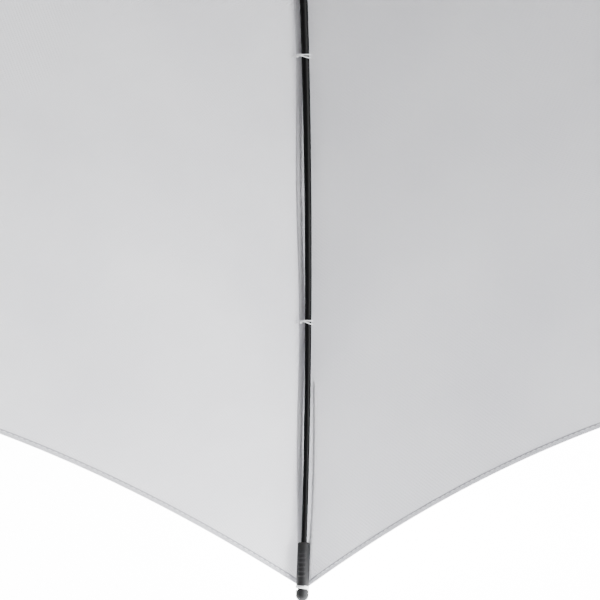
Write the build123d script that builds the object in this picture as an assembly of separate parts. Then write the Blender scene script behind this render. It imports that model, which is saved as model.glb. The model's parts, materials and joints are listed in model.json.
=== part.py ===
from build123d import *
import math
import os

# A white photographic umbrella, opened. Eight curved fibreglass ribs hinge on a wire ring in
# the top notch, eight stretchers push them out from the runner, and a one-layer fabric canopy
# lies on their outside. All sizes are in millimetres.
#
# Each piece is drawn in the shaft frame: +Z runs along the shaft from the ribs' hinge ring to
# the free end, and a rib's own radial direction is +X. placed() then turns it to its place
# around the shaft and into the row frame, where the shaft lies along Y, the open bowl faces
# -Y, rib 1 points straight down and the origin is the middle of the shaft's clamping stretch.

# ---- driving sizes: ribs -------------------------------------------------------------------
rib_count = 8
rib_length = 512.0          # along the rod's curve, from the hinge ring to the rod's end
rib_start_slope = 12.0      # degrees above the radial plane, at the hinge
rib_bend_radius = 955.0     # of the rod's centreline, opened
rib_d = 3.8
rib_end_d = 2.6
rib_taper_length = 250.0    # the outer stretch, which thins towards the tip
closed_tip_radius = 10.5    # from the shaft's axis to a rib's end, umbrella closed

# ---- driving sizes: shaft, notch and runner --------------------------------------------------
shaft_d = 8.0
shaft_wall = 0.8
shaft_length = 602.0        # from the hinge ring to the end of the tube
shaft_top = 20.0            # stretch of tube beyond the hinge ring, into the top cap
hub_web = 1.8               # solid wall between the shaft and the slots of notch and runner
hub_rim = 2.5               # solid wall outside the hinge wire
hub_back = 3.5              # solid disc behind the slots
slot_depth_open = 4.0       # from the wire's centre to the slots' open face
slot_depth_back = 3.5       # from the wire's centre to the slots' floor
wire_d = 1.2
pin_d = 1.4
runner_sleeve_length = 42.0
runner_sleeve_wall = 1.6
runner_clearance = 0.1      # radial, on the shaft
stop_gap = 8.0              # from the closed runner to the stop ring
stop_ring_width = 1.2
stop_groove_depth = 0.35
stop_ring_height = 1.1

# ---- driving sizes: joints between ribs and stretchers ----------------------------------------
joint_arc = 185.0           # along the rib, from the hinge ring to the stretcher's rivet
joint_drop = 5.0            # from the rib's centreline to the rivet, on the hollow side
eye_r = 2.2
eye_gap = 1.0               # from an eye to the hub's web
rib_eye_width = 2.4
stretcher_eye_width = 1.8
side_gap = 0.3              # between an eye and the walls of its slot, each side
pivot_clearance = 0.1       # radial, of an eye on its wire
rivet_d = 1.6
rivet_clearance = 0.05      # radial
ear_wall = 0.8
sleeve_wall = 0.45          # of the steel fittings crimped on a rib
channel_width = 3.6
channel_depth = 3.2
channel_wall = 0.5

# ---- driving sizes: canopy and tips ------------------------------------------------------------
cloth = 0.4                 # thickness of the canopy's solid
cloth_gap = 0.3             # between the canopy and what it lies on, and along its seams
canopy_hole_gap = 1.5       # radial, between the shaft and the hole at the apex
canopy_hub_gap = 1.0        # from the notch's back to the middle of the cloth
canopy_flat_margin = 0.5    # the flat middle of the canopy reaches this far past the notch
canopy_seat_r = 50.0        # where the cloth comes down onto the ribs
hem_on_tip = 21.0           # from a tip's mouth to the canopy's corner, in the tip's groove
hem_scallop = 24.3          # how far the hem is cut back between two ribs
hem_power = 2.0             # shape of that cut: 2 is a parabola
gore_sag = 13.0             # how far a gore's middle dips inwards at the rim
tip_d = 5.9
tip_length = 27.0
tip_socket = 14.0           # length of rib inside a tip
tip_clear_length = 50.0     # of rib over which the cloth rises to clear the tip
tip_clear_margin = 10.0     # the cloth has risen this far before the tip's mouth
rib_end_plain = 6.0         # from the end of the rod's taper to the tip's mouth
tip_groove_d = 4.3
tip_chamfer = 0.5
tip_groove_width = 1.8
fin_width = 1.2
fin_height = 2.3
fin_length = 13.0
fin_eyelet_d = 1.5
washer_width = 5.0          # of the washer's face, round the shaft
washer_thickness = 0.8
cap_wall = 2.6              # of the top cap, round the shaft
cap_length = 16.5

# ---- driving sizes: opening catch ---------------------------------------------------------------
catch_thickness = 1.6
catch_length = 22.0         # from its pivot pin to its stop face
catch_reach = 2.6           # how far it stands out of the shaft
catch_gap = 0.3             # to the runner, and inside its slot

# ---- derived sizes --------------------------------------------------------------------------------
shaft_r = shaft_d / 2
bore_r = shaft_r - shaft_wall
ring_r = shaft_r + hub_web + eye_gap + eye_r
hub_r = ring_r + hub_rim
hub_low = -slot_depth_back - hub_back
tip_start = rib_length - tip_socket
hem_arc = tip_start + hem_on_tip
canopy_hole_r = shaft_r + canopy_hole_gap
canopy_apex_z = hub_low - canopy_hub_gap
canopy_flat_r = hub_r + canopy_flat_margin
washer_r = shaft_r + washer_width
cap_r = shaft_r + cap_wall
notch_pin_z = -slot_depth_back - hub_back / 2
rib_r = rib_d / 2
rib_end_r = rib_end_d / 2
wire_r = wire_d / 2
eye_hole_r = wire_r + pivot_clearance
pitch = 360 / rib_count
half_pitch = math.radians(pitch / 2)


def slope(t):
    """Slope of the rib, in radians above the radial plane, a length t along it."""
    return math.radians(rib_start_slope) + t / rib_bend_radius


def rib_point(t, drop=0.0):
    """(radius, height) of the rib's centreline at t, moved drop towards the hollow side."""
    start = slope(0)
    here = slope(t)
    radius = ring_r + rib_bend_radius * (math.sin(here) - math.sin(start))
    height = rib_bend_radius * (math.cos(start) - math.cos(here))
    return radius - drop * math.sin(here), height + drop * math.cos(here)


# The stretcher is as long as the rivet is far from the hinge ring, so hinge, rivet and runner
# make an isosceles triangle at every opening and the runner slides straight along the shaft.
joint_x, joint_z = rib_point(joint_arc, joint_drop)
arm = math.hypot(joint_x - ring_r, joint_z)
arm_angle = math.atan2(joint_x - ring_r, joint_z)      # from the shaft, umbrella open
runner_z = 2 * joint_z
tip_end = tip_start + tip_length
tip_x, tip_z = rib_point(tip_end)
tip_reach = math.hypot(tip_x - ring_r, tip_z)
fold = math.atan2(tip_x - ring_r, tip_z) - math.asin((closed_tip_radius - ring_r) / tip_reach)
closed_runner_z = 2 * arm * math.cos(arm_angle - fold)
sleeve_end = runner_sleeve_length - hub_low        # from the runner's wire
stop_z = closed_runner_z + sleeve_end + stop_gap
clamp_start = stop_z + stop_ring_width
clamp_length = shaft_length - clamp_start
origin_z = clamp_start + clamp_length / 2
catch_stop_z = runner_z + sleeve_end + catch_gap
catch_pivot_z = catch_stop_z + catch_length


def placed(shape, azimuth=0.0):
    """Turn a piece from the shaft frame to its azimuth in degrees, then into the row frame."""
    return Pos(0, origin_z, 0) * Rot(90, 0, 0) * Rot(0, 0, azimuth) * shape


def row_point(x, y, z, azimuth=0.0):
    """The row-frame point, in metres, of a shaft-frame point turned to its azimuth."""
    a = math.radians(azimuth)
    u = x * math.cos(a) - y * math.sin(a)
    v = x * math.sin(a) + y * math.cos(a)
    return [u / 1000, (origin_z - z) / 1000, v / 1000]


def rib_azimuth(number):
    """Rib 1 points straight down, and the others follow round."""
    return -90 + pitch * (number - 1)


def ring(outer, inner, low, high):
    """A plain ring about the shaft, from height low to high."""
    middle = (low + high) / 2
    return Pos(0, 0, middle) * (Cylinder(outer, high - low) - Cylinder(inner, high - low + 1))


def disc_y(radius, width, x=0.0, z=0.0):
    """A cylinder lying along Y, centred on the rib's plane."""
    return Pos(x, 0, z) * Rot(90, 0, 0) * Cylinder(radius, width)


def section(t, radius, drop=0.0):
    """A circle square to the rib at t."""
    x, z = rib_point(t, drop)
    here = slope(t)
    square = Plane(origin=(x, 0, z), x_dir=(0, 1, 0), z_dir=(math.cos(here), 0, math.sin(here)))
    return square * Circle(radius)


def rod(t_start, t_end, radius):
    """A round bar along the rib's arc."""
    start = rib_point(t_start)
    middle = rib_point((t_start + t_end) / 2)
    end = rib_point(t_end)
    points = [(x, 0, z) for x, z in (start, middle, end)]
    path = Edge.make_three_point_arc(*points)
    return sweep(section(t_start, radius), path=path)


def at_rib(t, shape):
    """Move a piece drawn at the origin, with the rib along +X, to the rib at t."""
    x, z = rib_point(t)
    return Pos(x, 0, z) * Rot(0, -math.degrees(slope(t)), 0) * shape


# ---- shaft and its fixed pieces ----------------------------------------------------------------------
def make_shaft_tube():
    """Steel tube with the catch's slot, the pins' holes and the stop ring's groove."""
    tube = ring(shaft_r, bore_r, -shaft_top, shaft_length)
    tube -= ring(shaft_r + 1, shaft_r - stop_groove_depth, stop_z, clamp_start)
    slot_width = catch_thickness + 2 * catch_gap
    slot_length = catch_length - 3
    slot = Pos(shaft_r, 0, catch_stop_z - catch_gap + slot_length / 2)
    tube -= slot * Box(2 * shaft_wall + 1, slot_width, slot_length)
    tube -= disc_y(pin_d / 2, 3 * shaft_d, z=notch_pin_z)
    tube -= disc_y(pin_d / 2, 3 * shaft_d, z=catch_pivot_z)
    return tube


def slotted_hub(bore, eye_width):
    """The round head that notch and runner share: one slot for each eye and a groove for the
    hinge wire, both open towards +Z. The wire's centre is at height 0."""
    body = ring(hub_r, bore, hub_low, slot_depth_open)
    body = chamfer(body.edges().filter_by(GeomType.CIRCLE).group_by(SortBy.RADIUS)[-1], 0.4)
    slot_inner = shaft_r + hub_web
    length = hub_r + 1 - slot_inner
    depth = slot_depth_open + 1 + slot_depth_back
    middle = depth / 2 - slot_depth_back
    for number in range(rib_count):
        slot = Pos(slot_inner + length / 2, 0, middle) * Box(length, eye_width + 2 * side_gap, depth)
        body -= Rot(0, 0, pitch * number) * slot
    body -= ring(ring_r + wire_r, ring_r - wire_r, -wire_r, slot_depth_open + 1)
    return body


def make_top_notch():
    """Moulded notch at the head of the shaft: the eight ribs hinge in its slots."""
    body = slotted_hub(shaft_r, rib_eye_width)
    return body - disc_y(pin_d / 2, 3 * hub_r, z=notch_pin_z)


def make_hinge_wire():
    """Wire ring that runs through the eyes, lying in the groove."""
    return Torus(ring_r, wire_r)


def make_shaft_pins():
    """Cross pins: one holds the notch on the shaft, one carries the catch."""
    notch_pin = disc_y(pin_d / 2, 2 * hub_r - 1, z=notch_pin_z)
    catch_pin = disc_y(pin_d / 2, shaft_d, z=catch_pivot_z)
    return Compound(children=[notch_pin, catch_pin])


def make_canopy_washer():
    """Flat washer that holds the cloth's middle down on the notch."""
    face = canopy_apex_z - cloth / 2 - cloth_gap
    washer = ring(washer_r, shaft_r, face - washer_thickness, face)
    return chamfer(washer.edges().filter_by(GeomType.CIRCLE).group_by(SortBy.RADIUS)[-1], 0.25)


def make_top_cap():
    """Moulded cap pushed onto the head of the shaft, over the washer."""
    base = canopy_apex_z - cloth / 2 - cloth_gap - washer_thickness
    cap = Pos(0, 0, base - cap_length / 2) * Cylinder(cap_r, cap_length)
    crown = cap.edges().filter_by(GeomType.CIRCLE).sort_by(Axis.Z)[0]
    cap = fillet(crown, cap_r * 0.75)
    foot = cap.edges().filter_by(GeomType.CIRCLE).sort_by(Axis.Z)[-1]
    cap = chamfer(foot, 0.6)
    blind = shaft_top + base
    cap -= Pos(0, 0, base - blind / 2) * Cylinder(shaft_r, blind)
    return cap


def make_stop_ring():
    """Sprung ring in the shaft's groove, where the closed runner stops."""
    outer = shaft_r + stop_ring_height
    body = ring(outer, shaft_r - stop_groove_depth, stop_z, clamp_start)
    rims = body.edges().filter_by(GeomType.CIRCLE).group_by(SortBy.RADIUS)[-1]
    return fillet(rims, stop_ring_width * 0.3)


def make_shaft_end_cap():
    """Plug in the free end of the tube, flush with its outside."""
    plug_length = 9.0
    head_length = 3.0
    head = Pos(0, 0, shaft_length + head_length / 2) * Cylinder(shaft_r, head_length)
    nose = head.edges().filter_by(GeomType.CIRCLE).sort_by(Axis.Z)[-1]
    head = fillet(nose, 1.2)
    plug = Pos(0, 0, shaft_length - plug_length / 2) * Cylinder(bore_r, plug_length)
    return head + plug


def make_open_catch():
    """Sprung catch: it stands out under the open runner and is pressed in to let it go."""
    top = catch_stop_z
    foot = catch_pivot_z
    arm_inner = 0.2
    arm_outer = 1.8
    boss_r = 1.7
    wedge_foot = foot - 5.0
    outline = Polyline(
        (arm_inner, top),
        (shaft_r + catch_reach, top),
        (shaft_r + catch_reach, top + 1.2),
        (arm_outer, wedge_foot),
        (boss_r, foot),
        (-boss_r, foot),
        (arm_inner, wedge_foot),
        (arm_inner, top),
    )
    face = make_face(Plane.XZ * outline)
    body = extrude(face, catch_thickness / 2, both=True)
    body += disc_y(boss_r, catch_thickness, z=foot)
    body -= disc_y(pin_d / 2 + rivet_clearance, 2 * catch_thickness, z=foot)
    return body


# ---- runner ---------------------------------------------------------------------------------------------
def make_runner():
    """Moulded runner: slotted head for the stretchers' eyes, and a sleeve for the hand."""
    bore = shaft_r + runner_clearance
    body = slotted_hub(bore, stretcher_eye_width)
    sleeve_r = bore + runner_sleeve_wall
    body += ring(sleeve_r, bore, -sleeve_end, hub_low)
    bead_height = 2.4
    bead = ring(sleeve_r + 1.4, bore, -sleeve_end, -sleeve_end + bead_height)
    body += fillet(bead.edges().filter_by(GeomType.CIRCLE).group_by(SortBy.RADIUS)[-1], 0.8)
    return Pos(0, 0, runner_z) * Rot(180, 0, 0) * body


def make_runner_wire():
    """Wire ring through the stretchers' eyes."""
    return Pos(0, 0, runner_z) * Torus(ring_r, wire_r)


# ---- ribs, their fittings and tips ------------------------------------------------------------------------
rod_start = eye_r + 4.8


def make_rib():
    """Round fibreglass rod, thinned over its outer stretch."""
    taper_end = tip_start - rib_end_plain
    taper_start = taper_end - rib_taper_length
    body = rod(rod_start, taper_start, rib_r)
    steps = 8
    circles = []
    for step in range(steps + 1):
        share = step / steps
        circles.append(section(taper_start + share * rib_taper_length,
                               rib_r + share * (rib_end_r - rib_r)))
    body += loft(circles)
    body += rod(taper_end, rib_length, rib_end_r)
    return body


def make_root_ferrule():
    """Steel ferrule on the rib's root, ending in the eye that hinges on the notch's wire."""
    sleeve_length = 10.0
    front = rod_start - 0.5
    sleeve_r = rib_r + sleeve_wall
    body = rod(front, rod_start + sleeve_length, sleeve_r) - rod(rod_start, rib_length / 4, rib_r)
    tongue_height = 1.6 * eye_r
    tongue_end = rod_start
    tongue = Pos(tongue_end / 2, 0, 0) * Box(tongue_end, rib_eye_width, tongue_height)
    tongue += disc_y(eye_r, rib_eye_width)
    tongue -= disc_y(eye_hole_r, 2 * rib_eye_width)
    return body + at_rib(0, tongue)


def make_joint_bracket():
    """Steel clip crimped round the rib, with two ears that hold the stretcher's rivet."""
    half_length = 8.0
    sleeve_r = rib_r + sleeve_wall
    body = rod(joint_arc - half_length, joint_arc + half_length, sleeve_r)
    ear_inner = stretcher_eye_width / 2 + side_gap
    ear_outer = ear_inner + ear_wall
    ear_r = rivet_d / 2 + 1.1
    for side in (-1, 1):
        middle = side * (ear_inner + ear_outer) / 2
        plate = Pos(0, middle, joint_drop / 2) * Box(5.0, ear_wall, joint_drop)
        plate += Pos(0, middle, 0) * disc_y(ear_r, ear_wall, z=joint_drop)
        body += at_rib(joint_arc, plate)
    body -= rod(joint_arc - 2 * half_length, joint_arc + 2 * half_length, rib_r)
    body -= at_rib(joint_arc, disc_y(rivet_d / 2, 4 * ear_outer, z=joint_drop))
    return body


def make_joint_rivet():
    """Rivet through the bracket's ears."""
    ear_outer = stretcher_eye_width / 2 + side_gap + ear_wall
    head_height = 0.6
    head_r = rivet_d / 2 + 0.5
    body = disc_y(rivet_d / 2, 2 * ear_outer, z=joint_drop)
    for side in (-1, 1):
        middle = side * (ear_outer + head_height / 2)
        body += Pos(0, middle, 0) * disc_y(head_r, head_height, z=joint_drop)
    return at_rib(joint_arc, body)


def make_rib_fittings():
    """The three steel fittings that one rib carries."""
    return Compound(children=[make_root_ferrule(), make_joint_bracket(), make_joint_rivet()])


def make_rib_tip():
    """Moulded tip on the rib's end, with a groove for the lashing and a fin to sew to."""
    tip_r = tip_d / 2
    cap = rod(tip_start, tip_end - tip_r, tip_r)
    mouth = cap.edges().filter_by(GeomType.CIRCLE).sort_by(Axis.X)[0]
    cap = chamfer(mouth, tip_chamfer)
    x, z = rib_point(tip_end - tip_r)
    cap += Pos(x, 0, z) * Sphere(tip_r)
    groove_wall = rod(hem_arc - tip_groove_width / 2, hem_arc + tip_groove_width / 2, 2 * tip_r)
    groove_wall -= rod(hem_arc - tip_groove_width, hem_arc + tip_groove_width, tip_groove_d / 2)
    cap -= groove_wall
    fin_reach = tip_r + fin_height
    fin_middle = (tip_start + hem_arc) / 2
    fin = Pos(0, 0, -fin_reach / 2) * Box(fin_length, fin_width, fin_reach)
    fin = fillet(fin.edges().filter_by(Axis.Y).group_by(Axis.Z)[0], 1.0)
    for side in (-1, 1):
        eyelet_z = -(tip_r + fin_height / 2)
        fin -= disc_y(fin_eyelet_d / 2, 3 * fin_width, x=side * fin_length / 4, z=eyelet_z)
    cap += at_rib(fin_middle, fin)
    cap -= rod(tip_start - 2, rib_length, rib_end_r)
    return cap


# ---- stretchers -----------------------------------------------------------------------------------------
def make_stretcher():
    """Folded steel channel with a flat eye at each end, from the rib's rivet to the runner."""
    tongue_length = 10.0
    tongue_height = 1.6 * eye_r
    joint_eye_r = eye_r - 0.2
    channel_length = arm - 1.4 * tongue_length
    channel = Box(channel_length, channel_width, channel_depth)
    hollow = Pos(0, 0, channel_wall) * Box(
        channel_length + 1, channel_width - 2 * channel_wall, channel_depth)
    body = Pos(arm / 2, 0, 0) * (channel - hollow)
    for end in (0, arm):
        inward = 1 if end == 0 else -1
        tongue = Pos(end + inward * tongue_length / 2, 0, 0)
        body += tongue * Box(tongue_length, stretcher_eye_width, tongue_height)
    body += disc_y(joint_eye_r, stretcher_eye_width)
    body += disc_y(eye_r, stretcher_eye_width, x=arm)
    body -= disc_y(rivet_d / 2 + rivet_clearance, 2 * channel_width)
    body -= disc_y(eye_hole_r, 2 * channel_width, x=arm)
    for end, radius in ((0, joint_eye_r), (arm, eye_r)):
        outward = -1 if end == 0 else 1
        corner = Pos(end + outward * radius, 0, 0) * Box(2 * radius, 2 * channel_width, 4 * radius)
        body -= corner - disc_y(radius, 4 * channel_width, x=end)
    direction = 90 + math.degrees(arm_angle)
    return Pos(joint_x, 0, joint_z) * Rot(0, -direction, 0) * Rot(180, 0, 0) * body


# ---- canopy ---------------------------------------------------------------------------------------------------
def cloth_lift(t):
    """How far the cloth's middle surface lies outside the rib's centreline."""
    rise_start = tip_start - tip_clear_margin - tip_clear_length
    beside_tip = min(max((t - rise_start) / tip_clear_length, 0), 1)
    rise = beside_tip * beside_tip * (3 - 2 * beside_tip)
    on_rod = (rib_r + sleeve_wall + cloth_gap + cloth / 2) * 1.12
    on_tip = (tip_d / 2 + cloth_gap + cloth / 2) * 1.2
    return on_rod + rise * (on_tip - on_rod)


def seat_arc():
    """Length along the rib where the cloth meets it."""
    low = 0.0
    high = hem_arc
    for _ in range(40):
        middle = (low + high) / 2
        if rib_point(middle, -cloth_lift(middle))[0] < canopy_seat_r:
            low = middle
        else:
            high = middle
    return low


seat_t = seat_arc()


def cloth_profile(t):
    """(radius, height, slope) of the cloth over a rib; t below seat_t runs in to the apex."""
    seat_r, seat_z = rib_point(seat_t, -cloth_lift(seat_t))
    if t >= seat_t:
        radius, height = rib_point(t, -cloth_lift(t))
        return radius, height, slope(t)
    radius = canopy_hole_r + (seat_r - canopy_hole_r) * t / seat_t
    if radius <= canopy_flat_r:
        return radius, canopy_apex_z, 0.0
    span = seat_r - canopy_flat_r
    u = (radius - canopy_flat_r) / span
    rise = seat_z - canopy_apex_z
    end_slope = math.tan(slope(seat_t))
    height = canopy_apex_z + rise * (3 * u * u - 2 * u ** 3) + span * end_slope * (u ** 3 - u * u)
    grade = rise * (6 * u - 6 * u * u) / span + end_slope * (3 * u * u - 2 * u)
    return radius, height, math.atan(grade)


def cloth_point(share, across):
    """A point of the gore's middle surface: share from apex 0 to hem 1, across from rib 0 to
    the next rib 1. It lies on the chord between the ribs, then dips inwards."""
    cut = hem_scallop * (1 - abs(2 * across - 1) ** hem_power)
    t = share * (hem_arc - cut)
    radius, height, here = cloth_profile(t)
    rim_r = cloth_profile(hem_arc)[0]
    dip = gore_sag * (radius / rim_r) ** 2 * 4 * across * (1 - across)
    turn = 2 * half_pitch
    x = radius * (1 - across + across * math.cos(turn))
    y = radius * across * math.sin(turn)
    inward = dip * math.sin(here)
    x -= inward * math.cos(half_pitch)
    y -= inward * math.sin(half_pitch)
    return x, y, height + dip * math.cos(here)


def half_gore_point(share, across):
    """A point of half a gore: across runs from its rib's seam, 0, to the gore's middle, 1,
    with half of the seam's gap left at each."""
    radius = cloth_profile(share * hem_arc)[0]
    seam = cloth_gap / 2 / (radius * math.sin(2 * half_pitch))
    middle = 0.5 - cloth_gap / 2 / (2 * radius * math.sin(half_pitch))
    return Vector(*cloth_point(share, seam + (middle - seam) * across))


def half_gore_normal(share, across):
    """The surface's unit normal there, on the hollow side."""
    step = 0.001
    along = half_gore_point(min(share + step, 1), across) - half_gore_point(max(share - step, 0), across)
    sideways = half_gore_point(share, min(across + step, 1)) - half_gore_point(share, max(across - step, 0))
    normal = along.cross(sideways).normalized()
    return normal if normal.Z > 0 else normal * -1


def make_half_gore():
    """Half a gore: from the rib's plane to the middle of the gore, on the rib's +Y side. Its
    two faces are half the cloth's thickness to each side, and its four edges join them."""
    shares = [0, 0.012, 0.024, 0.036, 0.05, 0.07, 0.09, 0.12, 0.18]
    shares += [0.18 + 0.082 * step for step in range(1, 11)]
    columns = 8
    faces = []
    for side in (-1, 1):
        grid = []
        for share in shares:
            line = []
            for column in range(columns + 1):
                normal = half_gore_normal(share, column / columns)
                line.append(half_gore_point(share, column / columns) + normal * (side * cloth / 2))
            grid.append(line)
        faces.append(Face.make_surface_from_array_of_points(grid))
    walls = []
    for edge in faces[0].edges():
        middle = edge @ 0.5
        facing = min(faces[1].edges(), key=lambda other: (other @ 0.5 - middle).length)
        walls.append(Face.make_surface_from_curves(edge, facing))
    body = Solid(Shell(faces + walls))
    fin_room = at_rib((tip_start + hem_arc) / 2, Box(
        fin_length + 2 * cloth_gap, fin_width + 2 * cloth_gap, 4 * tip_d))
    return body - fin_room


# ---- write one file for each piece ---------------------------------------------------------------------------
def write(name, shape):
    shape.label = name
    export_step(shape, f"parts/{name}.step")


os.makedirs("parts", exist_ok=True)
catch_azimuth = 90.0
tube = make_shaft_tube()
write("shaft_tube", placed(tube, catch_azimuth))
write("shaft_pins", placed(make_shaft_pins(), catch_azimuth))
write("open_catch", placed(make_open_catch(), catch_azimuth))
write("top_notch", placed(make_top_notch(), catch_azimuth))
write("notch_wire", placed(make_hinge_wire()))
write("top_cap", placed(make_top_cap()))
write("canopy_washer", placed(make_canopy_washer()))
write("stop_ring", placed(make_stop_ring()))
write("shaft_end_cap", placed(make_shaft_end_cap()))
write("runner", placed(make_runner()))
write("runner_wire", placed(make_runner_wire()))

rib = make_rib()
fittings = make_rib_fittings()
tip = make_rib_tip()
stretcher = make_stretcher()
gore_right = make_half_gore()
gore_left = mirror(gore_right, about=Plane.XZ)
for number in range(1, rib_count + 1):
    azimuth = rib_azimuth(number)
    write(f"rib_{number}", placed(rib, azimuth))
    write(f"rib_fittings_{number}", placed(fittings, azimuth))
    write(f"rib_tip_{number}", placed(tip, azimuth))
    write(f"stretcher_{number}", placed(stretcher, azimuth))
    write(f"canopy_{number}_left", placed(gore_left, azimuth))
    write(f"canopy_{number}_right", placed(gore_right, azimuth))

# ---- joint facts for the record --------------------------------------------------------------------------------
print(f"fold {math.degrees(fold):.4f} deg, arm {arm:.3f}, arm angle {math.degrees(arm_angle):.3f}")
print(f"runner {runner_z:.3f} open, {closed_runner_z:.3f} closed; ring_r {ring_r:.3f}")
print(f"clamp stretch {clamp_length:.3f} long, centre {origin_z:.3f} from the hinge ring")
print(f"joint at {joint_x:.4f}, {joint_z:.4f}; catch pivot {catch_pivot_z:.3f}")
print(f"rim radius {cloth_profile(hem_arc)[0]:.2f}, depth {cloth_profile(hem_arc)[1]:.2f}")
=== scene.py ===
import json
import math

import bmesh
import bpy
import numpy as np
from mathutils import Matrix, Vector


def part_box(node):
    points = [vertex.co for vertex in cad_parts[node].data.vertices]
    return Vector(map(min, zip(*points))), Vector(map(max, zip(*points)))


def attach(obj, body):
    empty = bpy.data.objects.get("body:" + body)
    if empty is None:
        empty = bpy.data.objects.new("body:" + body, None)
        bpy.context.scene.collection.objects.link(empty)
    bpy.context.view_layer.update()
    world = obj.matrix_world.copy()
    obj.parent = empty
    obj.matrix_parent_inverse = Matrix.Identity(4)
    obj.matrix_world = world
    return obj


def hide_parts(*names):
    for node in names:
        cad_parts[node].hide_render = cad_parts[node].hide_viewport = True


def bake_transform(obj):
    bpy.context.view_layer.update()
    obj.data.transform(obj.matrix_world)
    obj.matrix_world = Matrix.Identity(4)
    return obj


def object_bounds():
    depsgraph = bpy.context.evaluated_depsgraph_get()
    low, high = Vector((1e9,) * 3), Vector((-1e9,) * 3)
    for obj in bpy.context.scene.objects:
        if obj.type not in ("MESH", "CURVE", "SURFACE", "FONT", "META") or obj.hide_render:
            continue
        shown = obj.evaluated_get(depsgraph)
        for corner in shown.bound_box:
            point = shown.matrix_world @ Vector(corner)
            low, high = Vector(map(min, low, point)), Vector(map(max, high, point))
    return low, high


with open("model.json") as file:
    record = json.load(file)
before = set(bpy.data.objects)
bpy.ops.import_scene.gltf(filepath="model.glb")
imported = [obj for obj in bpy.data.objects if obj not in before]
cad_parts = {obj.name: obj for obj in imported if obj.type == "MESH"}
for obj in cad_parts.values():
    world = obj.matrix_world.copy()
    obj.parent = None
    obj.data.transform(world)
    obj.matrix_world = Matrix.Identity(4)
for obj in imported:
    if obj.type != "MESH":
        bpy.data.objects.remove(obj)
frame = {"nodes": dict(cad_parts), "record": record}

cad_low, cad_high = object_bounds()
scene = bpy.context.scene

# ---- camera and room -------------------------------------------------------------------------
# The camera looks down into the open canopy at the lowest rib, close enough that the rib's tip
# touches the lower edge of the view. The floor is a pale paper sweep with a pool of light from
# below under the canopy, like a light table, and one soft lamp stands low on the right.

AIM_ACROSS = 0.00431
AIM_INTO_BOWL = 0.0535
AIM_HEIGHT = -0.34285
TARGET = Vector((AIM_ACROSS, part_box("rib_1")[0].y + AIM_INTO_BOWL, AIM_HEIGHT))
ELEVATION = math.radians(32.64)
TO_THE_RIGHT = math.radians(17.30)
ROLL = math.radians(9.7)
DISTANCE = 1.8
SENSOR = 36.0
FOCAL = 238.44


def look_at(place, target, roll=0.0):
    """The turn that points an object's -Z at target with its Y up, then rolls it."""
    forward = (target - place).normalized()
    turn = forward.to_track_quat("-Z", "Y").to_matrix().to_4x4()
    return Matrix.Translation(place) @ turn @ Matrix.Rotation(roll, 4, "Z")


backward = Vector((
    math.sin(TO_THE_RIGHT) * math.cos(ELEVATION),
    -math.cos(TO_THE_RIGHT) * math.cos(ELEVATION),
    math.sin(ELEVATION),
))
camera = bpy.data.objects.new("camera", bpy.data.cameras.new("camera"))
scene.collection.objects.link(camera)
scene.camera = camera
camera.data.sensor_width = SENSOR
camera.data.lens = FOCAL
camera.data.clip_end = 50
camera.matrix_world = look_at(TARGET + backward * DISTANCE, TARGET, -ROLL)


def linear(hex_colour):
    """sRGB hex to a linear colour with full alpha."""
    channels = [int(hex_colour[i:i + 2], 16) / 255 for i in (1, 3, 5)]
    curve = [c / 12.92 if c <= 0.04045 else ((c + 0.055) / 1.055) ** 2.4 for c in channels]
    return (*curve, 1.0)


def add(tree, kind, settings=None, **inputs):
    """Add a node: settings are its own properties, inputs its socket values or links."""
    made = tree.nodes.new(kind)
    for key, value in (settings or {}).items():
        setattr(made, key, value)
    for key, value in inputs.items():
        name = key.replace("_", " ")
        socket = made.inputs[int(name[1:])] if name[0] == "i" and name[1:].isdigit() else made.inputs[name]
        if isinstance(value, bpy.types.NodeSocket):
            tree.links.new(value, socket)
        else:
            socket.default_value = value
    return made


def new_material(name):
    """An empty material: returns it with its tree and its shader."""
    made = bpy.data.materials.new(name)
    made.use_nodes = True
    tree = made.node_tree
    return made, tree, tree.nodes["Principled BSDF"]


cove, tree, shader = new_material("matt_white_paper_sweep")
shader.inputs["Base Color"].default_value = linear("#FCFCFC")
shader.inputs["Roughness"].default_value = 0.9
shader.inputs["Specular IOR Level"].default_value = 0.1
POOL_STRENGTH = 13.0
FLOOR_GLOW = 0.5
POOL_FRONT = (0.20, 0.27)
POOL_REAR = (0.58, 0.45)
place = add(tree, "ShaderNodeTexCoord")
axes = add(tree, "ShaderNodeSeparateXYZ", Vector=place.outputs["Object"])
smooth = {"interpolation_type": "SMOOTHSTEP"}
front = add(tree, "ShaderNodeMapRange", smooth,
            Value=axes.outputs["Y"], From_Min=POOL_FRONT[0], From_Max=POOL_FRONT[1])
rear = add(tree, "ShaderNodeMapRange", smooth,
           Value=axes.outputs["Y"], From_Min=POOL_REAR[0], From_Max=POOL_REAR[1])
pool = add(tree, "ShaderNodeMath", {"operation": "MULTIPLY"},
           i0=front.outputs[0], i1=rear.outputs[0])
glow = add(tree, "ShaderNodeMath", {"operation": "MULTIPLY_ADD"},
           i0=pool.outputs[0], i1=POOL_STRENGTH, i2=FLOOR_GLOW)
shader.inputs["Emission Color"].default_value = (1, 1, 1, 1)
tree.links.new(glow.outputs[0], shader.inputs["Emission Strength"])
FLOOR_SIZE = 14.0
FLOOR_DROP = 0.012
floor_z = cad_low[2] - FLOOR_DROP
corners = [(-1, -1), (1, -1), (1, 1), (-1, 1)]
floor_mesh = bpy.data.meshes.new("floor")
spread = [(x * FLOOR_SIZE / 2, y * FLOOR_SIZE / 2, floor_z) for x, y in corners]
floor_mesh.from_pydata(spread, [], [(0, 1, 2, 3)])
floor = bpy.data.objects.new("floor", floor_mesh)
scene.collection.objects.link(floor)
floor_mesh.materials.append(cove)

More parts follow.
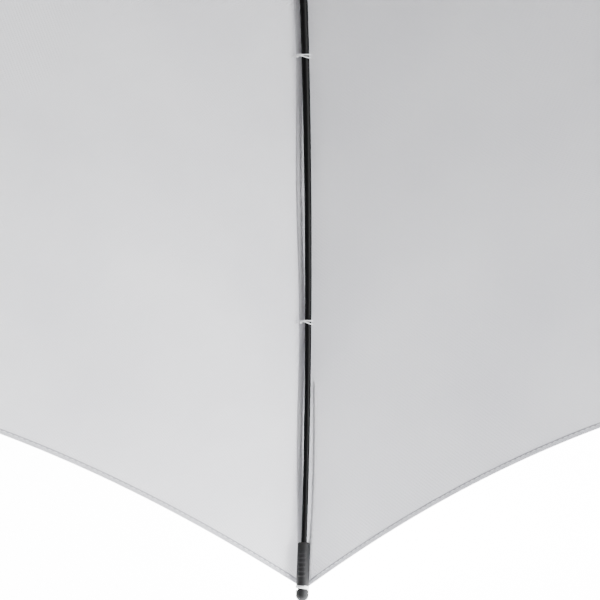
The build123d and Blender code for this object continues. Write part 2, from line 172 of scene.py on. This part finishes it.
scene.world = bpy.data.worlds.new("white_sky")
scene.world.use_nodes = True
scene.world.node_tree.nodes["Background"].inputs["Color"].default_value = (1, 1, 1, 1)
scene.world.node_tree.nodes["Background"].inputs["Strength"].default_value = 0.2


def area_light(name, place, target, size, power):
    """A square soft lamp aimed at a point."""
    lamp = bpy.data.lights.new(name, "AREA")
    lamp.shape = "SQUARE"
    lamp.size = size
    lamp.energy = power
    made = bpy.data.objects.new(name, lamp)
    scene.collection.objects.link(made)
    made.matrix_world = look_at(Vector(place), Vector(target))
    return made


area_light("key_softbox", (2.3, -0.5, -0.1), (0, 0.35, -0.3), 1.6, 300)

# ---- canopy ----------------------------------------------------------------------------------
# Eight gores of white woven polyester, cut with a hollow lower edge and stretched over the
# ribs. Each is saddle-shaped, so it dips inwards between two ribs. A gore is made in two
# halves, one beside each of its ribs, which meet along its middle.

hinge = frame["record"]["behaviour"]["joints"][0]["pos_m"]
HINGE_Y = hinge[1]
RING_R = -hinge[2]
RIB_COUNT = 8
PITCH = math.radians(360 / RIB_COUNT)
START_SLOPE = math.radians(12.0)
BEND_RADIUS = 0.955
HEM_ARC = 0.519
HEM_SCALLOP = 0.0243
HEM_POWER = 2.0
GORE_SAG = 0.013
APEX_Z = -0.008
APEX_HOLE = 0.0055
FLAT_R = 0.012
SEAT_R = 0.050
LIFT_ON_ROD = 0.003192
LIFT_ON_TIP = 0.00414
TIP_START = 0.498
CLOTH = 0.00022
HEM_WIDTH = 0.0026
HEM_EXTRA = 0.00035


def slope_at(t):
    """The rib's slope above the radial plane: the start slope plus arc over radius."""
    return START_SLOPE + t / BEND_RADIUS


def rib_line(t, lift=0.0):
    """(radius, height) along the rib's arc, lifted towards the outside of the canopy."""
    s = slope_at(t)
    radius = RING_R + BEND_RADIUS * (np.sin(s) - math.sin(START_SLOPE)) + lift * np.sin(s)
    height = BEND_RADIUS * (math.cos(START_SLOPE) - np.cos(s)) - lift * np.cos(s)
    return radius, height


def cloth_lift(t):
    """Lift of the cloth off the rib's centreline: constant, then a smooth rise at the tip."""
    share = np.clip((t - TIP_START + 0.060) / 0.050, 0, 1)
    rise = share * share * (3 - 2 * share)
    return LIFT_ON_ROD + rise * (LIFT_ON_TIP - LIFT_ON_ROD)


def seat_arc():
    """Arc length at which the cloth comes down on the rib, found by halving."""
    low, high = 0.0, HEM_ARC
    for _ in range(40):
        middle = (low + high) / 2
        if rib_line(middle, cloth_lift(middle))[0] < SEAT_R:
            low = middle
        else:
            high = middle
    return low


SEAT_T = seat_arc()


def cloth_line(t):
    """(radius, height, slope) over a rib. Past the seat it is the lifted rib arc; inside it a
    cubic eases from the flat middle on the notch to the arc, matching both slopes."""
    seat_r, seat_z = rib_line(SEAT_T, cloth_lift(SEAT_T))
    radius, height = rib_line(t, cloth_lift(t))
    slope = slope_at(t)
    inner_r = APEX_HOLE + (seat_r - APEX_HOLE) * t / SEAT_T
    span = seat_r - FLAT_R
    u = np.clip((inner_r - FLAT_R) / span, 0, 1)
    rise = seat_z - APEX_Z
    grade = math.tan(slope_at(SEAT_T))
    inner_z = APEX_Z + rise * (3 * u * u - 2 * u ** 3) + span * grade * (u ** 3 - u * u)
    inner_grade = rise * (6 * u - 6 * u * u) / span + grade * (3 * u * u - 2 * u)
    inside = t < SEAT_T
    return (np.where(inside, inner_r, radius), np.where(inside, inner_z, height),
            np.where(inside, np.arctan(inner_grade), slope))


RIM_R = float(cloth_line(np.array(HEM_ARC))[0])


def gore_surface(t_share, across):
    """A gore's middle surface in the shaft frame: the chord between the two ribs' cloth lines,
    moved inwards by a parabola across the gore that grows with the radius squared. The share
    runs to a hem cut back by a power curve between the ribs."""
    cut = HEM_SCALLOP * (1 - np.abs(2 * across - 1) ** HEM_POWER)
    t = t_share * (HEM_ARC - cut)
    radius, height, slope = cloth_line(t)
    dip = GORE_SAG * (radius / RIM_R) ** 2 * 4 * across * (1 - across)
    inward = dip * np.sin(slope)
    x = radius * (1 - across + across * math.cos(PITCH)) - inward * math.cos(PITCH / 2)
    y = radius * across * math.sin(PITCH) - inward * math.sin(PITCH / 2)
    return np.stack([x, y, height + dip * np.cos(slope)], -1), t


def normals_of(grid):
    """Unit normals of a grid of points, by the cross product of its two gradients, turned to
    the hollow side of the canopy (+z in the shaft frame)."""
    along = np.gradient(grid, axis=0)
    across = np.gradient(grid, axis=1)
    n = np.cross(along, across)
    n /= np.linalg.norm(n, axis=-1, keepdims=True)
    return n * np.sign(n[..., 2:3])


def to_row(points, number):
    """Shaft-frame points to the row frame, turned to rib number's place round the shaft."""
    a = -math.pi / 2 + PITCH * (number - 1)
    x, y, z = points[..., 0], points[..., 1], points[..., 2]
    u = x * math.cos(a) - y * math.sin(a)
    v = x * math.sin(a) + y * math.cos(a)
    return np.stack([u, HINGE_Y - z, v], -1)


SHARP_ANGLE = math.radians(50)


def piece(name, points, faces, material, uv=None, hem=None):
    """Put points and faces into a new smooth object, with its normals turned outwards. hem is
    each point's distance from the cloth's edge."""
    mesh = bpy.data.meshes.new(name)
    mesh.from_pydata(points.reshape(-1, 3).tolist(), [], faces)
    if uv is not None:
        layer = mesh.uv_layers.new(name="UVMap")
        index = np.empty(len(mesh.loops), int)
        mesh.loops.foreach_get("vertex_index", index)
        layer.data.foreach_set("uv", uv.reshape(-1, 2)[index].astype(np.float32).ravel())
    if hem is not None:
        distance = mesh.attributes.new("to_hem", "FLOAT", "POINT")
        distance.data.foreach_set("value", hem.ravel().astype(np.float32))
    work = bmesh.new()
    work.from_mesh(mesh)
    bmesh.ops.recalc_face_normals(work, faces=work.faces)
    work.to_mesh(mesh)
    work.free()
    mesh.polygons.foreach_set("use_smooth", np.full(len(mesh.polygons), True))
    mesh.set_sharp_from_angle(angle=SHARP_ANGLE)
    mesh.materials.append(material)
    made = bpy.data.objects.new(name, mesh)
    scene.collection.objects.link(made)
    return made


def grid_faces(rows, columns, start=0, wrap=False):
    """Quads between the points of a grid; wrap joins its last column to its first."""
    i = np.arange(rows - 1)[:, None]
    j = np.arange(columns if wrap else columns - 1)[None, :]
    k = (j + 1) % columns
    quads = np.stack([i * columns + j, i * columns + k, (i + 1) * columns + k,
                      (i + 1) * columns + j], -1)
    return (quads.reshape(-1, 4) + start).tolist()


def rim_faces(rows, columns, second):
    """Quads that join the borders of two equal grids, the second one's points after second."""
    top = np.arange(columns)
    right = np.arange(1, rows) * columns + columns - 1
    bottom = (rows - 1) * columns + np.arange(columns - 2, -1, -1)
    left = np.arange(rows - 2, 0, -1) * columns
    border = np.concatenate([top, right, bottom, left])
    after = np.roll(border, -1)
    return np.stack([border, after, after + second, border + second], -1).tolist()


def shell_faces(rows, columns):
    """Faces of a closed shell: two equal grids, one after the other, joined at their borders."""
    second = rows * columns
    skins = grid_faces(rows, columns) + grid_faces(rows, columns, second)
    return skins + rim_faces(rows, columns, second)


def end_faces(rows, columns):
    """The two polygons that close a tube of so many rings."""
    return [tuple(range(columns)), tuple(range((rows - 1) * columns, rows * columns))]


# Woven polyester taffeta: plain weave of fine bright yarn. The eye gets a soft, dead-white
# surface with a faint grid; the yarns, 0.25 mm apart, are drawn 0.8 mm apart so they show.
THREAD = 0.0008
cloth_white, tree, shader = new_material("woven_white_polyester_taffeta")
place = add(tree, "ShaderNodeUVMap", {"uv_map": "UVMap"})
split = add(tree, "ShaderNodeSeparateXYZ", Vector=place.outputs["UV"])
yarns = []
for axis in ("X", "Y"):
    phase = add(tree, "ShaderNodeMath", {"operation": "MULTIPLY"},
                i0=split.outputs[axis], i1=math.pi / THREAD)
    wave = add(tree, "ShaderNodeMath", {"operation": "SINE"}, i0=phase.outputs[0])
    yarns.append(wave.outputs[0])
weave = add(tree, "ShaderNodeMath", {"operation": "MULTIPLY"}, i0=yarns[0], i1=yarns[1])
slub = add(tree, "ShaderNodeTexNoise", Vector=place.outputs["UV"], Scale=900.0, Detail=2.0)
height = add(tree, "ShaderNodeMath", {"operation": "ADD"},
             i0=weave.outputs[0], i1=slub.outputs["Fac"])
bump = add(tree, "ShaderNodeBump", Strength=0.4, Distance=0.0002, Height=height.outputs[0])
cloud = add(tree, "ShaderNodeTexNoise", Vector=place.outputs["UV"], Scale=14.0, Detail=3.0)
shade = add(tree, "ShaderNodeMapRange", Value=cloud.outputs["Fac"], From_Min=0.3, From_Max=0.7)
tone = add(tree, "ShaderNodeMix", {"data_type": "RGBA"},
           i0=shade.outputs[0], i6=linear("#DADADD"), i7=linear("#E2E2E4"))
# The hem is three layers, so less light comes through it: its colour is painted darker as shade for that.
# Its stitch line is pulled in a little, and a dark line of painted shade runs along it.
to_hem = add(tree, "ShaderNodeAttribute", {"attribute_name": "to_hem"})
layers = add(tree, "ShaderNodeMapRange",
             Value=to_hem.outputs["Fac"], From_Min=HEM_WIDTH + 0.0001, From_Max=HEM_WIDTH - 0.0002)
# painted shade: the hem's three layers are coloured darker, for the light that does not come through
hem_tone = add(tree, "ShaderNodeMix", {"data_type": "RGBA"},
               i0=layers.outputs[0], i6=tone.outputs[2], i7=linear("#CBCBCF"))
GROOVE_IN = 0.0005
off_stitch = add(tree, "ShaderNodeMath", {"operation": "SUBTRACT"},
                 i0=to_hem.outputs["Fac"], i1=HEM_WIDTH - GROOVE_IN)
width = add(tree, "ShaderNodeMath", {"operation": "ABSOLUTE"}, i0=off_stitch.outputs[0])
# painted shade: a dark line along the hem's stitch line, for the shade in its groove
stitch_groove_shade = add(tree, "ShaderNodeMapRange", Value=width.outputs[0], From_Min=0.0006, From_Max=0.0002)
tone = add(tree, "ShaderNodeMix", {"data_type": "RGBA"},
           i0=stitch_groove_shade.outputs[0], i6=hem_tone.outputs[2], i7=linear("#9C9CA1"))
tree.links.new(tone.outputs[2], shader.inputs["Base Color"])
tree.links.new(bump.outputs[0], shader.inputs["Normal"])
shader.inputs["Roughness"].default_value = 0.72
shader.inputs["Specular IOR Level"].default_value = 0.3
shader.inputs["Sheen Weight"].default_value = 0.08
LIGHT_THROUGH = 0.37
through = add(tree, "ShaderNodeBsdfTranslucent", Color=tone.outputs[2], Normal=bump.outputs[0])
both = add(tree, "ShaderNodeMixShader", i0=LIGHT_THROUGH, i1=shader.outputs[0], i2=through.outputs[0])
tree.links.new(both.outputs[0], tree.nodes["Material Output"].inputs["Surface"])

ROWS_INNER = 90
ROWS_HEM = 20
COLUMNS = 34
FINE_ROWS = 1.6          # the closely spaced rows reach this many hem widths in
ROW_CROWDING = 1.15
HEM_STEP = 0.0004


def half_gore(side):
    """Inner and outer grids of half a gore beside its rib; side is 1 towards the next rib."""
    length = HEM_ARC - HEM_SCALLOP / 2
    near_hem = 1 - FINE_ROWS * HEM_WIDTH / length
    shares = np.concatenate([np.linspace(0, 1, ROWS_INNER) ** ROW_CROWDING * near_hem,
                             np.linspace(near_hem, 1, ROWS_HEM + 1)[1:]])
    across = np.linspace(0, 0.5, COLUMNS)
    share_grid, across_grid = np.meshgrid(shares, across, indexing="ij")
    middle, t = gore_surface(share_grid, across_grid)
    n = normals_of(middle)
    to_edge = (1 - share_grid) * length
    folded = np.clip((HEM_WIDTH - to_edge) / HEM_STEP, 0, 1)
    inner = middle + n * (CLOTH / 2 + HEM_EXTRA * folded)[..., None]
    outer = middle - n * CLOTH / 2
    uv = np.stack([middle[..., 1], t], -1)
    for grid in (inner, outer):
        grid[:, 0, 1] = 0
        grid[..., 1] *= side
    return inner, outer, uv, to_edge


for number in range(1, RIB_COUNT + 1):
    for side, word in ((-1, "left"), (1, "right")):
        inner, outer, uv, to_edge = half_gore(side)
        rows, columns = inner.shape[:2]
        points = to_row(np.stack([inner, outer]), number)
        half = piece(f"cloth_{number}_{word}", points, shell_faces(rows, columns), cloth_white,
                     np.stack([uv, uv]), np.stack([to_edge, to_edge]))
        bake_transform(half)
        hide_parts(f"canopy_{number}_{word}")

# ---- ribs ------------------------------------------------------------------------------------
# Round pultruded fibreglass rods, black all through, ground thinner towards the tip. Each is
# crimped in a steel ferrule at the notch and pushed into its moulded tip at the other end.
ROD_START = 0.007
ROD_END = 0.512
ROD_R = 0.0019
ROD_END_R = 0.0013
TAPER_END = 0.492
TAPER_LENGTH = 0.250

rod_black, tree, shader = new_material("black_pultruded_fibreglass_rod")
place = add(tree, "ShaderNodeUVMap", {"uv_map": "UVMap"})
stretch = add(tree, "ShaderNodeMapping", Vector=place.outputs["UV"], Scale=(1 / 0.0004, 1 / 0.030, 1.0))
fibre = add(tree, "ShaderNodeTexNoise", Vector=stretch.outputs[0], Scale=1.0, Detail=4.0)
bump = add(tree, "ShaderNodeBump", Strength=0.25, Distance=0.00004, Height=fibre.outputs["Fac"])
rough = add(tree, "ShaderNodeMapRange", Value=fibre.outputs["Fac"], To_Min=0.42, To_Max=0.56)
tone = add(tree, "ShaderNodeMix", {"data_type": "RGBA"},
           i0=fibre.outputs["Fac"], i6=linear("#050506"), i7=linear("#0B0B0C"))
tree.links.new(tone.outputs[2], shader.inputs["Base Color"])
tree.links.new(rough.outputs[0], shader.inputs["Roughness"])
tree.links.new(bump.outputs[0], shader.inputs["Normal"])
shader.inputs["Specular IOR Level"].default_value = 0.1


def rod_radius(t):
    """Full radius, then a straight taper to the end radius."""
    share = np.clip((t - (TAPER_END - TAPER_LENGTH)) / TAPER_LENGTH, 0, 1)
    return ROD_R + share * (ROD_END_R - ROD_R)


def along_rib(t, angle, radius):
    """Points round the rib's centreline: angle 0 faces the hollow side, a quarter turn +y."""
    x, z = rib_line(t)
    s = slope_at(t)
    hollow = radius * np.cos(angle)
    sideways = radius * np.sin(angle)
    return np.stack([x - hollow * np.sin(s), sideways, z + hollow * np.cos(s)], -1)


ROD_SIDES = 24
for number in range(1, RIB_COUNT + 1):
    t = np.linspace(ROD_START, ROD_END, 160)
    radius = rod_radius(t)
    angles = np.linspace(0, 2 * math.pi, ROD_SIDES, endpoint=False)
    t_grid, angle_grid = np.meshgrid(t, angles, indexing="ij")
    skin = along_rib(t_grid, angle_grid, radius[:, None] * np.ones_like(angle_grid)).reshape(-1, 3)
    ends = along_rib(t[[0, -1]], np.zeros(2), np.zeros(2))
    points = np.concatenate([skin, ends])
    uv = np.stack([angle_grid * radius.max(), t_grid], -1).reshape(-1, 2)
    uv = np.concatenate([uv, [[0, t[0]], [0, t[-1]]]])
    faces = grid_faces(len(t), ROD_SIDES, wrap=True)
    for cap, base in ((len(skin), 0), (len(skin) + 1, (len(t) - 1) * ROD_SIDES)):
        faces += [(cap, base + i, base + (i + 1) % ROD_SIDES) for i in range(ROD_SIDES)]
    rod = piece(f"rod_{number}", to_row(points, number), faces, rod_black, uv)
    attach(rod, f"rib_arm_{number}")
    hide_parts(f"rib_{number}")

# ---- seams -----------------------------------------------------------------------------------
# Two gores are sewn together along each rib. Their turned-in edges, felled flat and stitched,
# stand on the hollow side as a soft ridge that the ties pull in against the rod.
TIE_PITCH = 0.1227
TIE_ARCS = [HEM_ARC - TIE_PITCH * k for k in (1, 2, 3)]
SEAM_WANDER = 0.0011
SEAM_LEAN = 0.55
SEAM_END_GAP = 0.003
RIPPLE_LENGTH = 0.0031
RIPPLE = 0.12


def cloth_inside(t, y):
    """Points on the cloth's hollow face at arc length t and distance y from the rib's plane."""
    radius = cloth_line(t)[0]
    across = np.clip(np.abs(y) / (radius * math.sin(PITCH)), 0, 1)
    share = t / (HEM_ARC - HEM_SCALLOP * (1 - np.abs(2 * across - 1) ** HEM_POWER))
    spot, _ = gore_surface(np.clip(share, 0, 1), across)
    spot[..., 1] *= np.where(y < 0, -1, 1)
    lean = np.sign(y) * SEAM_LEAN
    up = np.stack([-np.sin(slope_at(t)), -lean, np.cos(slope_at(t))], -1)
    up /= np.linalg.norm(up, axis=-1, keepdims=True)
    return spot + up * (CLOTH / 2), up


def seam_strip(side, centre, width, rise, first, number, name):
    """A strip on the cloth beside the rib: its section is a rounded hump of that width and
    rise, laid along a line that wanders from the rod between two ties."""
    rows, columns = 420, 13
    t = np.linspace(first, HEM_ARC - SEAM_END_GAP, rows)
    phase = (HEM_ARC - t) / TIE_PITCH
    wander = 0.5 - 0.5 * np.cos(2 * math.pi * phase)
    line = centre(t) + SEAM_WANDER * wander
    u = np.linspace(-1, 1, columns)
    t_grid = np.repeat(t[:, None], columns, 1)
    y = side * (line[:, None] + u[None, :] * width / 2)
    foot, up = cloth_inside(t_grid, y)
    hump = rise * np.clip(1 - u ** 4, 0, 1)[None, :]
    ripple = 1 + RIPPLE * np.sin(2 * math.pi * t / RIPPLE_LENGTH)
    top = foot + up * (hump * ripple[:, None])[..., None]
    base = foot - up * 0.00008
    uv = np.stack([y, t_grid], -1)
    far_from_hem = np.full((2, rows, columns), 0.1)
    made = piece(name, to_row(np.stack([top, base]), number), shell_faces(rows, columns),
                 cloth_white, np.stack([uv, uv]), far_from_hem)
    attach(made, f"rib_arm_{number}")
    return made


def inner_fell(t):
    """Distance of the broad ridge from the rib's plane: it narrows in towards the tip."""
    return 0.0037 - 0.0014 * np.clip((t - 0.38) / 0.12, 0, 1)


def outer_fell(t):
    """Distance of the narrow ridge: hidden behind the rod, then out beside it near the tip."""
    return 0.0012 + 0.0013 * np.clip((t - 0.36) / 0.06, 0, 1)


for number in range(1, RIB_COUNT + 1):
    seam_strip(-1, inner_fell, 0.0026, 0.0010, 0.024, number, f"felled_seam_{number}")
    seam_strip(1, outer_fell, 0.0018, 0.0006, 0.425, number, f"seam_edge_{number}")

# ---- hem stitching ---------------------------------------------------------------------------
# The folded hem is held by a lockstitch of white spun polyester thread along its inner edge,
# which moves with the cloth.


def stitches(centres, along, up, length, width, height):
    """Points and faces of a row of stitches: each is a hexagonal bar, tapered at both ends,
    along its own direction and lifted by its own normal."""
    profile = np.array([(-0.5, 0.15), (-0.32, 0.8), (0.0, 1.0), (0.32, 0.8), (0.5, 0.15)])
    angles = np.linspace(0, 2 * math.pi, 6, endpoint=False)
    side = np.cross(along, up)
    reach = profile[:, 0][None, :, None, None] * length
    girth = profile[:, 1][None, :, None, None]
    cosine = np.cos(angles)[None, None, :, None]
    sine = np.sin(angles)[None, None, :, None]
    points = centres[:, None, None, :] + reach * along[:, None, None, :]
    points = points + girth * cosine * width / 2 * side[:, None, None, :]
    points = points + girth * sine * height * up[:, None, None, :]
    rows, columns = len(profile), len(angles)
    one = grid_faces(rows, columns, wrap=True) + end_faces(rows, columns)
    faces = [tuple(i + k * rows * columns for i in f) for k in range(len(centres)) for f in one]
    return points, faces


# Spun polyester sewing thread, three strands: matt white, with a twist too fine to see here.
# Its colour is painted darker in the hollows of the twist and lighter on its tops, as shade.
thread_white, tree, shader = new_material("spun_polyester_sewing_thread")
place = add(tree, "ShaderNodeTexCoord")
ply = add(tree, "ShaderNodeTexWave", {"wave_type": "BANDS", "bands_direction": "DIAGONAL"},
          Vector=place.outputs["Object"], Scale=900.0, Distortion=1.5)
bump = add(tree, "ShaderNodeBump", Strength=0.4, Distance=0.00006, Height=ply.outputs["Fac"])
# painted shade: darker in the twist's hollows, lighter on its raised tops
tone = add(tree, "ShaderNodeMix", {"data_type": "RGBA"},
           i0=ply.outputs["Fac"], i6=linear("#DADADC"), i7=linear("#F6F6F7"))
tree.links.new(tone.outputs[2], shader.inputs["Base Color"])
tree.links.new(bump.outputs[0], shader.inputs["Normal"])
shader.inputs["Roughness"].default_value = 0.6
shader.inputs["Sheen Weight"].default_value = 0.1

STITCH_PITCH = 0.0028
STITCH_LENGTH = 0.0021
STITCH_WIDTH = 0.00042
STITCH_HEIGHT = 0.00016
STITCH_IN = 0.0008       # from the hem's inner edge
LOOK_AHEAD = 0.0005
for number in range(1, RIB_COUNT + 1):
    for side, word in ((-1, "left"), (1, "right")):
        across = np.linspace(0.02, 0.5, 400)
        share = 1 - (HEM_WIDTH - STITCH_IN) / (HEM_ARC - HEM_SCALLOP / 2)
        line, t = gore_surface(np.full_like(across, share), across)
        run = np.concatenate([[0], np.cumsum(np.linalg.norm(np.diff(line, axis=0), axis=1))])
        spots = np.arange(STITCH_PITCH / 2, run[-1] - STITCH_PITCH / 3, STITCH_PITCH)
        centres = np.stack([np.interp(spots, run, line[:, i]) for i in range(3)], -1)
        ahead = np.stack([np.interp(spots + LOOK_AHEAD, run, line[:, i]) for i in range(3)], -1)
        back = np.stack([np.interp(spots - LOOK_AHEAD, run, line[:, i]) for i in range(3)], -1)
        along = (ahead - back) / np.linalg.norm(ahead - back, axis=1, keepdims=True)
        s = slope_at(np.interp(spots, run, t))
        inward = -np.sin(s)
        up = np.stack([inward * math.cos(PITCH / 2), inward * math.sin(PITCH / 2), np.cos(s)], -1)
        up -= along * np.sum(up * along, axis=1, keepdims=True)
        up /= np.linalg.norm(up, axis=1, keepdims=True)
        centres = centres + up * (CLOTH / 2 + HEM_EXTRA)
        points, faces = stitches(centres, along, up, STITCH_LENGTH, STITCH_WIDTH, STITCH_HEIGHT)
        points[..., 1] *= side
        hem = piece(f"hem_stitches_{number}_{word}", to_row(points, number), faces, thread_white)
        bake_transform(hem)

# ---- ties ------------------------------------------------------------------------------------
# Each seam is tied to its rod at three places with a few turns of thread, knotted beside the
# rod on the seam and pulled tight.
TIE_THREAD = 0.00028
TIE_TURNS = 4.0
TIE_SPREAD = 0.0016
SEAM_SWELL = 0.0016
KNOT_OUT = 0.0017        # from the rod's side to the knot
KNOT_R = 0.00035


def thread_tube(path, radius, name, number, sides=8):
    """A thread along a list of points: circles of that radius square to the path, with the
    ends drawn to a point."""
    tangent = np.gradient(path, axis=0)
    tangent /= np.linalg.norm(tangent, axis=1, keepdims=True)
    side = np.cross(tangent, np.array([0.31, 0.77, 0.55]))
    side /= np.linalg.norm(side, axis=1, keepdims=True)
    third = np.cross(tangent, side)
    angles = np.linspace(0, 2 * math.pi, sides, endpoint=False)
    size = np.full(len(path), radius)
    size[[0, -1]] = radius * 0.3
    ringed = side[:, None, :] * np.cos(angles)[None, :, None]
    ringed = ringed + third[:, None, :] * np.sin(angles)[None, :, None]
    points = path[:, None, :] + ringed * size[:, None, None]
    faces = grid_faces(len(path), sides, wrap=True) + end_faces(len(path), sides)
    made = piece(name, to_row(points, number), faces, thread_white)
    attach(made, f"rib_arm_{number}")
    return made


def tie_path(t0, turns, spread):
    """Turns of thread round rod and seam: a helix whose radius swells on the side towards the
    seam, with its pitch swaying so that the turns cross."""
    a = np.linspace(0, 2 * math.pi * turns, int(44 * turns))
    radius = rod_radius(t0) + TIE_THREAD * (1.1 + 0.25 * np.sin(a * 0.37))
    toward_seam = np.clip(-np.sin(a), 0, 1) ** 2
    behind = np.clip(-np.cos(a), 0, 1)
    swell = SEAM_SWELL * toward_seam * (1 - 0.4 * behind)
    t = t0 + spread * (np.sin(a * 0.5 + 0.6) * 0.5 + 0.25 * np.sin(a))
    return along_rib(t, a, radius + swell)


for number in range(1, RIB_COUNT + 1):
    for k, t0 in enumerate(TIE_ARCS):
        thread_tube(tie_path(t0, TIE_TURNS, TIE_SPREAD), TIE_THREAD, f"rib_tie_{number}_{k + 1}", number)
        a = np.linspace(0, 2 * math.pi * 1.6, 46)
        knot_y = -rod_radius(t0) - KNOT_OUT + KNOT_R * np.cos(a)
        x, z = rib_line(t0 + 0.0006 * np.sin(a * 0.6), 0.0)
        s = slope_at(t0)
        lift = -0.0008 + KNOT_R * np.sin(a)
        knot = np.stack([x + lift * math.sin(s), knot_y, z - lift * math.cos(s)], -1)
        thread_tube(knot, TIE_THREAD * 1.2, f"tie_knot_{number}_{k + 1}", number)

# ---- rib tips --------------------------------------------------------------------------------
# Soft-touch moulded tips, pushed over the rods' ends. A lashing of thick white thread lies in
# the groove and holds the gores' corners, which are also sewn through the fin's two eyelets.
tip_rubber, tree, shader = new_material("soft_touch_moulded_rubber")
place = add(tree, "ShaderNodeTexCoord")
grain = add(tree, "ShaderNodeTexNoise", Vector=place.outputs["Object"], Scale=2600.0, Detail=3.0)
wear = add(tree, "ShaderNodeTexNoise", Vector=place.outputs["Object"], Scale=160.0, Detail=4.0)
bump = add(tree, "ShaderNodeBump", Strength=0.35, Distance=0.00008, Height=grain.outputs["Fac"])
tone = add(tree, "ShaderNodeMix", {"data_type": "RGBA"},
           i0=wear.outputs["Fac"], i6=linear("#141415"), i7=linear("#232325"))
tree.links.new(tone.outputs[2], shader.inputs["Base Color"])
tree.links.new(bump.outputs[0], shader.inputs["Normal"])
shader.inputs["Roughness"].default_value = 0.62
shader.inputs["Specular IOR Level"].default_value = 0.2
shader.inputs["Sheen Weight"].default_value = 0.04
TIP_R = 0.00295
GRIP_BARS = 6
GRIP_START = 0.0048      # from the tip's mouth to the first bar
GRIP_PITCH = 0.0021
GRIP_HALF_LENGTH = 0.0006
GRIP_HALF_ANGLE = 0.62
GRIP_HEIGHT = 0.00032
GRIP_SUNK = 0.00006
GROOVE_R = 0.00215
LASHING = 0.00052
LASHING_TURNS = 2.6
EYELET_ARCS = (0.50525, 0.51175)
EYELET_DROP = 0.0041
EYELET_THREAD = 0.0003
for number in range(1, RIB_COUNT + 1):
    slots = frame["nodes"][f"rib_tip_{number}"].data.materials
    slots.clear()
    slots.append(tip_rubber)
    u = np.linspace(-1, 1, 9)
    v = np.linspace(-GRIP_HALF_ANGLE, GRIP_HALF_ANGLE, 15)
    bars = []
    faces = []
    for bar in range(GRIP_BARS):
        u_grid, v_grid = np.meshgrid(u, v, indexing="ij")
        edge = np.clip((1 - u_grid ** 2) * (1 - (v_grid / GRIP_HALF_ANGLE) ** 6), 0, 1)
        t = TIP_START + GRIP_START + bar * GRIP_PITCH + u_grid * GRIP_HALF_LENGTH
        bars.append(along_rib(t, v_grid, TIP_R - GRIP_SUNK + GRIP_HEIGHT * edge ** 0.5))
        faces += grid_faces(len(u), len(v), bar * u_grid.size)
    grip = piece(f"tip_grip_{number}", to_row(np.stack(bars), number), faces, tip_rubber)
    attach(grip, f"rib_arm_{number}")
    a = np.linspace(0.4, 0.4 + 2 * math.pi * LASHING_TURNS, 150)
    wind = HEM_ARC - 0.0004 + 0.0009 * (a / a.max() - 0.5) + 0.00025 * np.sin(a)
    lashing = along_rib(wind, a, np.full_like(a, GROOVE_R + LASHING))
    thread_tube(lashing, LASHING, f"tip_lashing_{number}", number, 10)
    for k, t0 in enumerate(EYELET_ARCS):
        a = np.linspace(0, 2 * math.pi * 2.2, 90)
        back = EYELET_DROP + 0.0011 * np.cos(a)
        x, z = rib_line(t0 + 0.0006 * np.sin(a * 0.45), 0.0)
        s = slope_at(t0)
        loop = np.stack([x + back * math.sin(s), 0.00125 * np.sin(a), z - back * math.cos(s)], -1)
        thread_tube(loop, EYELET_THREAD, f"fin_stitch_{number}_{k + 1}", number)

# ---- frame metals and mouldings --------------------------------------------------------------
# Zinc-plated steel fittings, wires and pins; black lacquered steel tube and stretchers; black
# glass-filled nylon notch, runner and caps with a fine spark-eroded grain.


def finish_of(name, dark, light, rough, grain, metal=1.0, bump_depth=0.00003, strength=0.2):
    """A metal, lacquer or moulding whose colour, roughness and bump follow a noise of that
    grain, in millimetres."""
    made, tree, shader = new_material(name)
    place = add(tree, "ShaderNodeTexCoord")
    noise = add(tree, "ShaderNodeTexNoise",
                Vector=place.outputs["Object"], Scale=1000.0 / grain, Detail=4.0)
    spread = noise.outputs["Fac"]
    tone = add(tree, "ShaderNodeMix", {"data_type": "RGBA"},
               i0=spread, i6=linear(dark), i7=linear(light))
    vary = add(tree, "ShaderNodeMapRange", Value=spread, To_Min=rough[0], To_Max=rough[1])
    bump = add(tree, "ShaderNodeBump", Strength=strength, Distance=bump_depth, Height=spread)
    tree.links.new(tone.outputs[2], shader.inputs["Base Color"])
    tree.links.new(vary.outputs[0], shader.inputs["Roughness"])
    tree.links.new(bump.outputs[0], shader.inputs["Normal"])
    shader.inputs["Metallic"].default_value = metal
    return made


zinc = finish_of("zinc_plated_steel", "#9FA2A6", "#C3C6CA", (0.28, 0.45), 3.0)
lacquer = finish_of("black_lacquered_steel_tube", "#0D0D0E", "#1B1B1D", (0.28, 0.4), 1.2, metal=0.0)
nylon = finish_of("black_glass_filled_nylon", "#161617", "#232325", (0.5, 0.66), 0.4, metal=0.0,
                  bump_depth=0.00006, strength=0.45)
spring = finish_of("blued_spring_steel", "#54565A", "#7A7C80", (0.25, 0.4), 2.0)
finishes = {
    zinc: ["shaft_pins", "notch_wire", "runner_wire", "canopy_washer"],
    lacquer: ["shaft_tube"],
    nylon: ["top_notch", "top_cap", "runner", "shaft_end_cap"],
    spring: ["stop_ring", "open_catch"],
}
for number in range(1, RIB_COUNT + 1):
    finishes[zinc].append(f"rib_fittings_{number}")
    finishes[lacquer].append(f"stretcher_{number}")
for finish, names in finishes.items():
    for name in names:
        mesh = frame["nodes"][name].data
        mesh.materials.clear()
        mesh.materials.append(finish)
